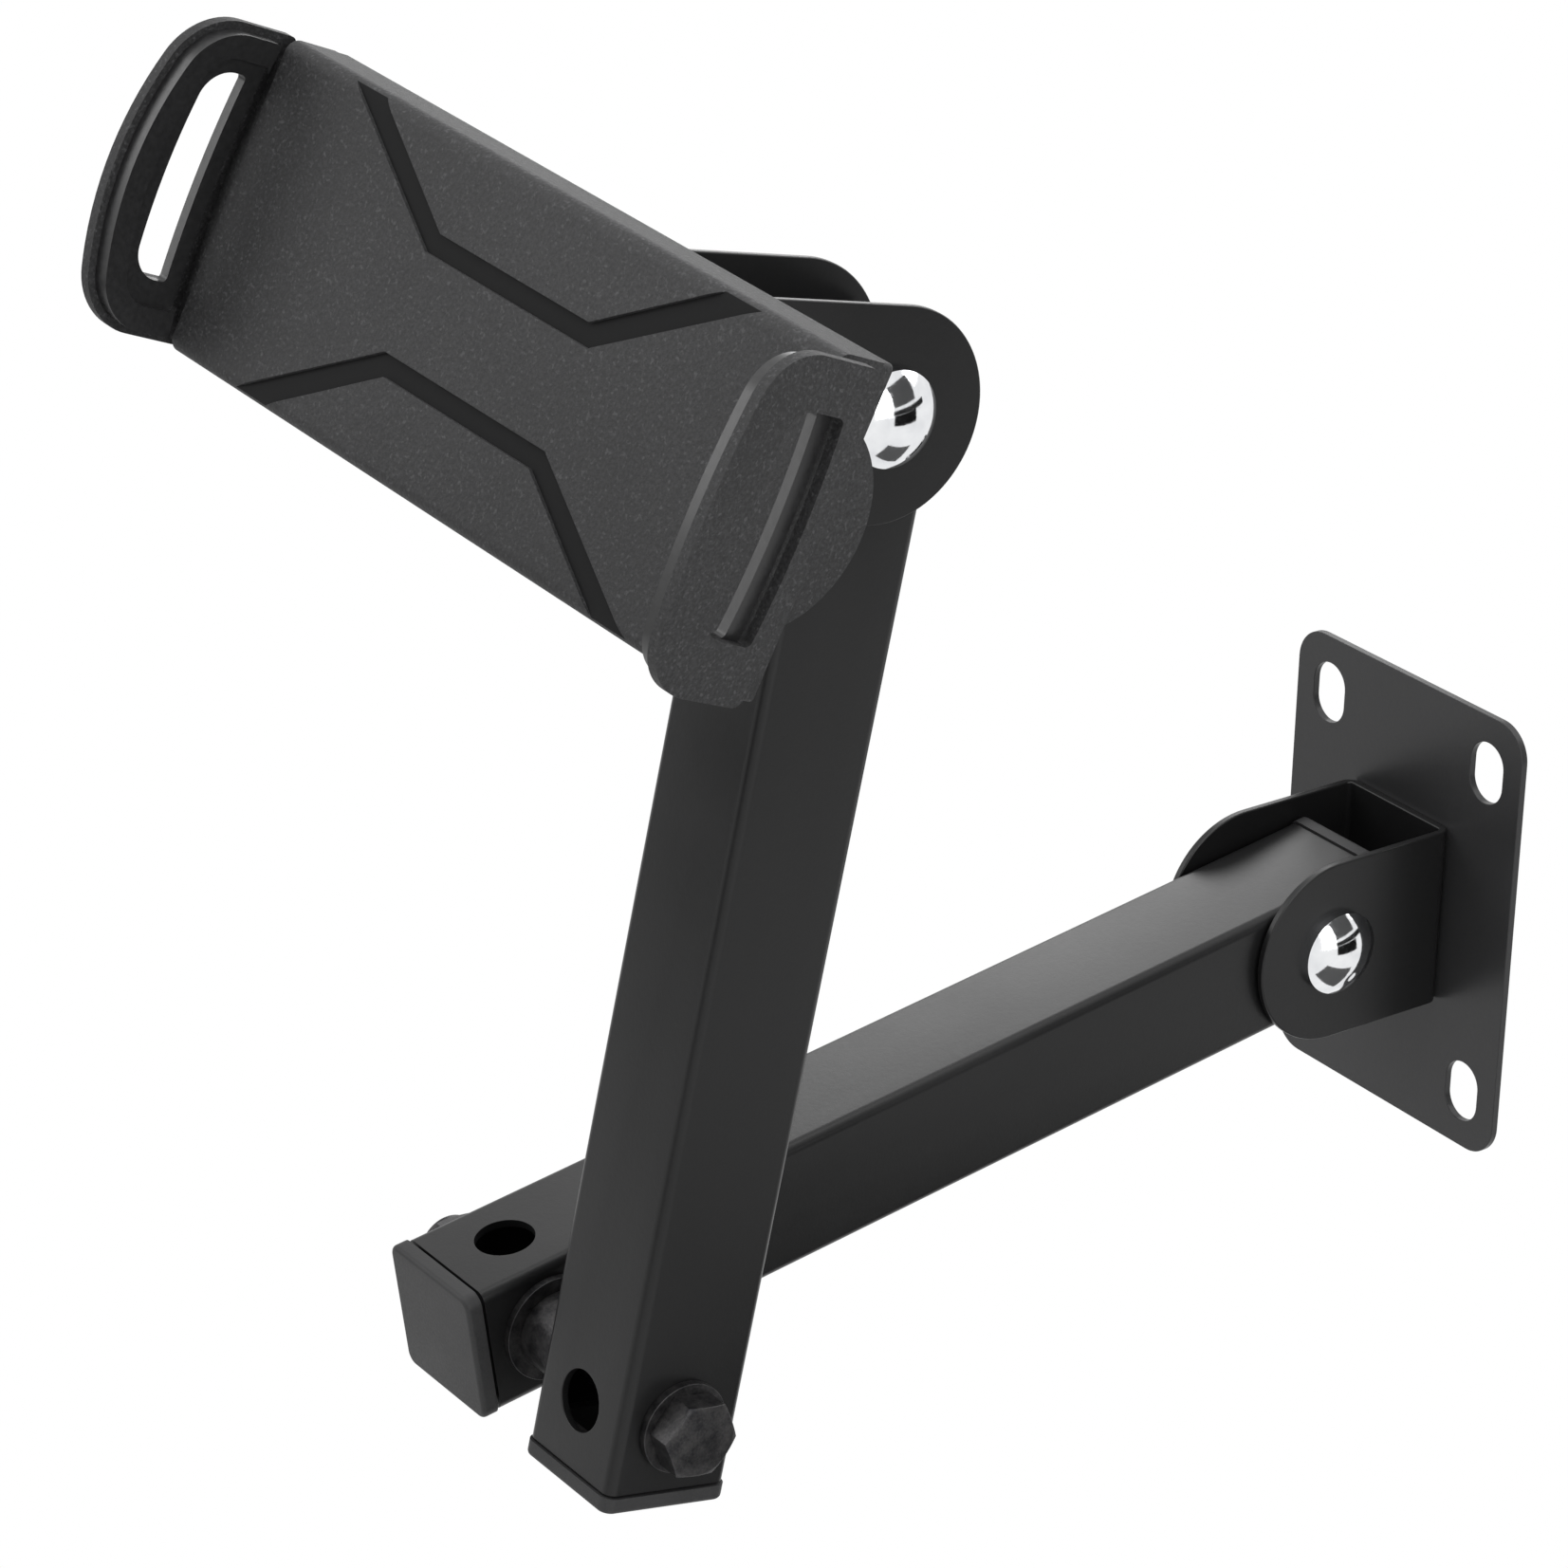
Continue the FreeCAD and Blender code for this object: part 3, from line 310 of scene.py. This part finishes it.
def plain_nylon():
    finish = Finish("plain_nylon", Specular_IOR_Level=0.4)
    grain = finish.noise(0.0008, 2)
    finish.feed("Base Color", finish.ramp(grain, grey(0.02), grey(0.03), 0.3, 0.7))
    finish.feed("Roughness", finish.stretch(grain, 0.3, 0.7, 0.45, 0.55))
    return finish.material


nylon = plain_nylon()
for soft in ("wall_friction_washers", "head_friction_washers", "ball_pad"):
    dress(soft, nylon)


# Elbow fasteners: hexagon bolt, lock nut, washers and sleeve, all black oxide steel.

def black_oxide():
    finish = Finish("black_oxide", Metallic=0.75)
    bloom = finish.noise(0.003, 4, 0.6)
    grain = finish.noise(0.0005, 2)
    finish.feed("Base Color", finish.ramp(bloom + (grain - 0.5) * 0.5, (0.018, 0.018, 0.02),
                                          (0.06, 0.058, 0.058), 0.3, 0.75))
    finish.feed("Roughness", finish.stretch(bloom, 0.3, 0.7, 0.34, 0.5))
    finish.relief(grain + bloom, 0.00005, 0.5)
    return finish.material


oxide = black_oxide()
for fastener in ("elbow_bolt", "elbow_nut", "elbow_head_washer", "elbow_nut_washer", "elbow_spacer",
                 "elbow_spacer_washers", "shell_screws"):
    dress(fastener, oxide, 0.15 * MM)


# Ball stud, its nut, the guide rods and the spring: zinc-plated steel, mostly out of sight.

def zinc_plate():
    finish = Finish("zinc_plate", Metallic=1.0)
    bloom = finish.noise(0.002, 3)
    finish.feed("Base Color", finish.ramp(bloom, (0.45, 0.46, 0.48), (0.66, 0.67, 0.68), 0.3, 0.7))
    finish.feed("Roughness", finish.stretch(bloom, 0.3, 0.7, 0.22, 0.34))
    return finish.material


zinc = zinc_plate()
for bright in ("ball_stud", "stud_ball", "ball_stud_nut", "guide_rods", "jaw_spring"):
    dress(bright, zinc)


# Holder shells and jaws: moulded plastic with a fine sandy grain; the light specks on it are painted
# glints, pale spots put into its colour.

def grained_plastic_painted_glints():
    finish = Finish("grained_plastic_painted_glints", Specular_IOR_Level=0.32)
    sand = finish.noise(0.00055, 3, 0.6)
    pebble = finish.cells(0.0009)
    # Pale specks added to the base colour: painted glints where the grain would catch the light.
    painted_glint = finish.stretch(finish.noise(0.0007, 1), 0.6, 0.72, 0.0, 1.0)
    cloud = finish.noise(0.05, 2)
    grain_and_painted_glint = cloud * 0.4 + (sand - 0.5) * 1.3 + painted_glint * 0.5
    finish.feed("Base Color", finish.ramp(grain_and_painted_glint, grey(0.020), grey(0.070), 0.1, 0.9))
    finish.feed("Roughness", finish.stretch(sand, 0.3, 0.7, 0.58, 0.72))
    finish.relief(sand + pebble * 0.6, 0.00016, 0.6)
    return finish.material


grained = grained_plastic_painted_glints()
front_cover = dress("front_cover", grained, 0.22 * MM)
for shell in ("back_shell", "lock_ring"):
    dress(shell, grained, 0.3 * MM)


# Jaws: bowed plastic walls moulded with a broad soft rounding along their front, top and bottom edges.

holder_centre = Vector(next(m for m in record["mounts"] if m["name"] == "tablet_face")["pos_m"])
holder_normal = Vector(next(j for j in frame["joints"] if j["name"] == "holder_spin")["axis"]).normalized()
slide_axis = Vector(next(j for j in frame["joints"] if j["name"] == "jaw_slide")["axis"]).normalized()
JAW_ROUND = 2.6 * MM
JAW_MIDDLE = 8 * MM
OUTER_WALL = 60 * MM
RIM_HEIGHT = 9 * MM


def round_rim(jaw, outward):
    """Marks the jaw's outer rim for a broad rounding, and leaves its back edge and finger slot crisp."""
    mesh = jaw.data
    middle = holder_centre + holder_normal * JAW_MIDDLE
    weights = mesh.attributes.new("bevel_weight_edge", "FLOAT", "EDGE")
    solid = bmesh.new()
    solid.from_mesh(mesh)
    for edge in solid.edges:
        if len(edge.link_faces) != 2 or edge.calc_face_angle(0) < SHARP:
            continue
        across = sorted(edge.link_faces, key=lambda face: -face.normal.dot(outward))
        outer, rim = across[0].normal, across[1].normal
        spot = (edge.verts[0].co + edge.verts[1].co) / 2 - middle
        if outer.dot(outward) < 0.9 or abs(rim.dot(outward)) > 0.3 or rim.dot(holder_normal) < -0.9:
            continue
        if spot.dot(outward) > OUTER_WALL and spot.dot(rim) > RIM_HEIGHT:
            weights.data[edge.index].value = 1.0
    solid.free()
    ease = jaw.modifiers.new("round_rim", "BEVEL")
    ease.width = JAW_ROUND
    ease.segments = 5
    ease.limit_method = "WEIGHT"
    ease.use_clamp_overlap = True
    while jaw.modifiers[0] != ease:
        jaw.modifiers.move(len(jaw.modifiers) - 1, 0)


for jaw, outward in (("fixed_jaw", slide_axis * -1), ("sliding_jaw", slide_axis)):
    round_rim(dress(jaw, grained, 0.35 * MM, 2), outward)


# Floors of the two grooved bands: left smooth and darker by the mould.

GROOVE_DEPTH = 0.7 * MM
GROOVE_SLACK = 0.05 * MM


def smooth_plastic():
    finish = Finish("smooth_plastic", Specular_IOR_Level=0.12)
    grain = finish.noise(0.0012, 2)
    finish.feed("Base Color", finish.ramp(grain, grey(0.006), grey(0.010), 0.3, 0.7))
    finish.feed("Roughness", finish.stretch(grain, 0.3, 0.7, 0.6, 0.7))
    return finish.material


front_cover.data.materials.append(smooth_plastic())
for face in front_cover.data.polygons:
    depth = (holder_centre - face.center).dot(holder_normal)
    if abs(depth - GROOVE_DEPTH) < GROOVE_SLACK and abs(face.normal.dot(holder_normal)) > 0.99:
        face.material_index = 1


# Jaw pads: soft moulded rubber with a smooth rounded ridge round each finger slot.

def soft_rubber():
    finish = Finish("soft_rubber", Specular_IOR_Level=0.5)
    grain = finish.noise(0.0009, 2)
    finish.feed("Base Color", finish.ramp(grain, grey(0.014), grey(0.020), 0.3, 0.7))
    finish.feed("Roughness", finish.stretch(grain, 0.3, 0.7, 0.32, 0.39))
    return finish.material


rubber = soft_rubber()
for lining in ("fixed_jaw_pad", "sliding_jaw_pad"):
    dress(lining, rubber, 0.72 * MM, 4)


# Studio: a plain pale floor well below the mount, a white surround and large soft lamps.

FLOOR_LEVEL = -0.3
FLOOR_HALF = 6
floor_mesh = bpy.data.meshes.new("floor")
floor_mesh.from_pydata([(x * FLOOR_HALF, y * FLOOR_HALF, FLOOR_LEVEL)
                        for x, y in ((-1, -1), (1, -1), (1, 1), (-1, 1))], [], [(0, 1, 2, 3)])
floor = bpy.data.objects.new("floor", floor_mesh)
scene.collection.objects.link(floor)


def white_when_seen(tree, base, seen):
    """Shows plain white to the camera and to gloss, and the base shader to everything else."""
    path = tree.nodes.new("ShaderNodeLightPath")
    seen_by = path.outputs["Is Camera Ray"]
    for ray in ("Is Glossy Ray", "Is Transmission Ray"):
        either = tree.nodes.new("ShaderNodeMath")
        either.operation = "MAXIMUM"
        tree.links.new(seen_by, either.inputs[0])
        tree.links.new(path.outputs[ray], either.inputs[1])
        seen_by = either.outputs[0]
    mix = tree.nodes.new("ShaderNodeMixShader")
    tree.links.new(seen_by, mix.inputs["Fac"])
    tree.links.new(base.outputs[0], mix.inputs[1])
    tree.links.new(seen.outputs[0], mix.inputs[2])
    return mix


floor_finish = bpy.data.materials.new("floor")
floor_finish.use_nodes = True
floor_tree = floor_finish.node_tree
floor_base = floor_tree.nodes["Principled BSDF"]
floor_base.inputs["Base Color"].default_value = (0.82, 0.82, 0.82, 1)
floor_base.inputs["Roughness"].default_value = 0.9
floor_seen = floor_tree.nodes.new("ShaderNodeEmission")
floor_seen.inputs["Strength"].default_value = 1.0
floor_mix = white_when_seen(floor_tree, floor_base, floor_seen)
floor_tree.links.new(floor_mix.outputs[0], floor_tree.nodes["Material Output"].inputs["Surface"])
floor_mesh.materials.append(floor_finish)

world = bpy.data.worlds.new("surround")
scene.world = world
world.use_nodes = True
world_tree = world.node_tree
world_base = world_tree.nodes["Background"]
world_base.inputs["Color"].default_value = (1, 1, 1, 1)
world_base.inputs["Strength"].default_value = 0.35
world_seen = world_tree.nodes.new("ShaderNodeBackground")
world_seen.inputs["Color"].default_value = (1, 1, 1, 1)
world_seen.inputs["Strength"].default_value = 1.0
world_mix = white_when_seen(world_tree, world_base, world_seen)
world_tree.links.new(world_mix.outputs[0], world_tree.nodes["World Output"].inputs["Surface"])


def soft_lamp(name, place, aim, width, height, power):
    """Rectangular lamp at place, facing aim."""
    data = bpy.data.lights.new(name, "AREA")
    data.shape = "RECTANGLE"
    data.size = width
    data.size_y = height
    data.energy = power
    lamp = bpy.data.objects.new(name, data)
    scene.collection.objects.link(lamp)
    lamp.location = place
    lamp.rotation_euler = (Vector(aim) - Vector(place)).to_track_quat("-Z", "Y").to_euler()


MIDDLE = (0.02, -0.15, 0.06)
soft_lamp("top", (0.1, -0.35, 1.5), MIDDLE, 1.2, 1.2, 14)
soft_lamp("front_left", (-0.9, -1.3, 0.9), MIDDLE, 0.8, 1.0, 8)
soft_lamp("right", (1.4, -0.2, 0.5), MIDDLE, 0.7, 1.0, 8)
soft_lamp("behind", (0.2, 1.2, 0.9), MIDDLE, 1.2, 0.6, 6)
soft_lamp("back_left", (-0.44, 0.22, 0.36), (0, -0.1, 0), 0.3, 0.25, 0.8)


# Dark and grey cards about the mount, seen only in the gloss, as a studio puts round bright metal.

def gloss_card(name, place, width, height, level=0.01):
    """Card of the given grey that faces the mount."""
    mesh = bpy.data.meshes.new(name)
    mesh.from_pydata([(-width / 2, -height / 2, 0), (width / 2, -height / 2, 0), (width / 2, height / 2, 0),
                      (-width / 2, height / 2, 0)], [], [(0, 1, 2, 3)])
    finish = bpy.data.materials.new(name)
    finish.use_nodes = True
    card_shader = finish.node_tree.nodes["Principled BSDF"]
    card_shader.inputs["Base Color"].default_value = (level, level, level, 1)
    card_shader.inputs["Specular IOR Level"].default_value = 0
    mesh.materials.append(finish)
    card = bpy.data.objects.new(name, mesh)
    scene.collection.objects.link(card)
    card.location = place
    card.rotation_euler = (Vector(place) - Vector(MIDDLE)).to_track_quat("Z", "Y").to_euler()
    card.visible_camera = False
    card.visible_diffuse = False
    card.visible_shadow = False


gloss_card("card_right", (1.1, 0.55, -0.12), 0.9, 0.34)
gloss_card("card_front", (0.35, -1.5, 0.05), 0.7, 0.5)
gloss_card("card_left", (-0.7, -0.84, -0.08), 0.4, 0.22)
gloss_card("card_band", (0.95, 0.62, 0.13), 1.3, 0.14, 0.02)
gloss_card("card_high", (0.86, 0.41, 0.55), 0.8, 0.6, 0.1)
gloss_card("card_low", (0.21, -0.01, -0.27), 0.32, 0.24, 0.1)
